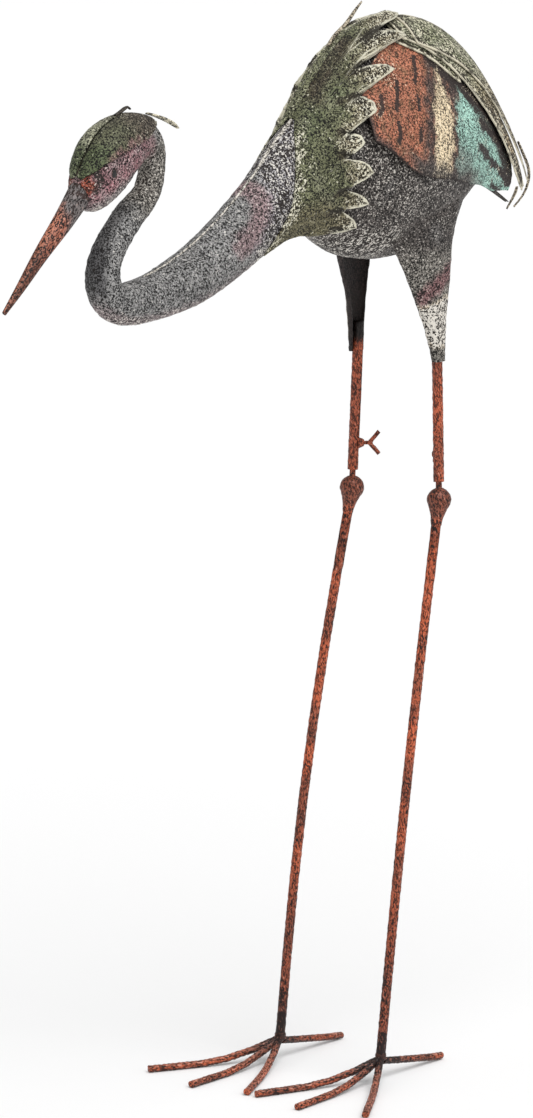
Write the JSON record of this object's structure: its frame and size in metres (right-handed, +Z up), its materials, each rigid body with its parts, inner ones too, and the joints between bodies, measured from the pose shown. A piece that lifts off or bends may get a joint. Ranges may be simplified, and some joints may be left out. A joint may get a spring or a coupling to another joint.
{
  "type": "crane garden statue",
  "caption": "Standing wading bird in painted sheet metal: curved neck, long beak, layered leaf feathers, pressed wings, rod legs with round knees and wire toes.",
  "frame": {"origin": "on the ground under the middle of the statue's bounding box", "axes": "+Z up, the bird looks along -Y, its left side is +X"},
  "size_m": [0.276, 0.7632, 1.0598],
  "materials": {
    "body_paint": "grey paint with dark speckle and pale dry-brushed highs over hammered sheet",
    "crown_paint": "mottled green and cream paint on hammered sheet",
    "cape_paint": "mossy green paint with dark speckle and cream-brushed leaf edges",
    "wing_paint": "rust, cream and teal paint bands over pressed grooves",
    "mantle_paint": "pale olive paint with cream edges",
    "cream_paint": "cream dry-brushed paint with dark speckle",
    "beak_paint": "copper rust paint with dark mottling",
    "leg_paint": "rust paint rubbed over black rod"
  },
  "bodies": {
    "root": {"body": "body_paint", "beak": "beak_paint", "crown_left": "crown_paint", "crown_right": "crown_paint", "crest_feather": "cream_paint", "crest_curl": "crown_paint", "cape_left": "cape_paint", "cape_right": "cape_paint", "cape_plume": "cream_paint", "wing_left": "wing_paint", "wing_right": "wing_paint", "mantle_lower_left": "mantle_paint", "mantle_lower_right": "mantle_paint", "mantle_middle_left": "mantle_paint", "mantle_middle_right": "mantle_paint", "mantle_upper_left": "mantle_paint", "mantle_upper_right": "mantle_paint", "mantle_ridge": "mantle_paint", "tail_plume_left": "cream_paint", "tail_plume_right": "cream_paint", "tail_wisp_left": "cream_paint", "tail_wisp_right": "cream_paint", "tail_tip_left": "mantle_paint", "tail_tip_right": "mantle_paint", "upper_leg_left": "leg_paint", "upper_leg_right": "leg_paint", "thumb_screw_left": "leg_paint", "thumb_screw_right": "leg_paint", "lower_leg_left": "leg_paint", "lower_leg_right": "leg_paint", "toe_middle_left": "leg_paint", "toe_middle_right": "leg_paint", "toe_outer_left": "leg_paint", "toe_outer_right": "leg_paint", "toe_inner_left": "leg_paint", "toe_inner_right": "leg_paint", "toe_back_left": "leg_paint", "toe_back_right": "leg_paint"}
  },
  "joints": []
}
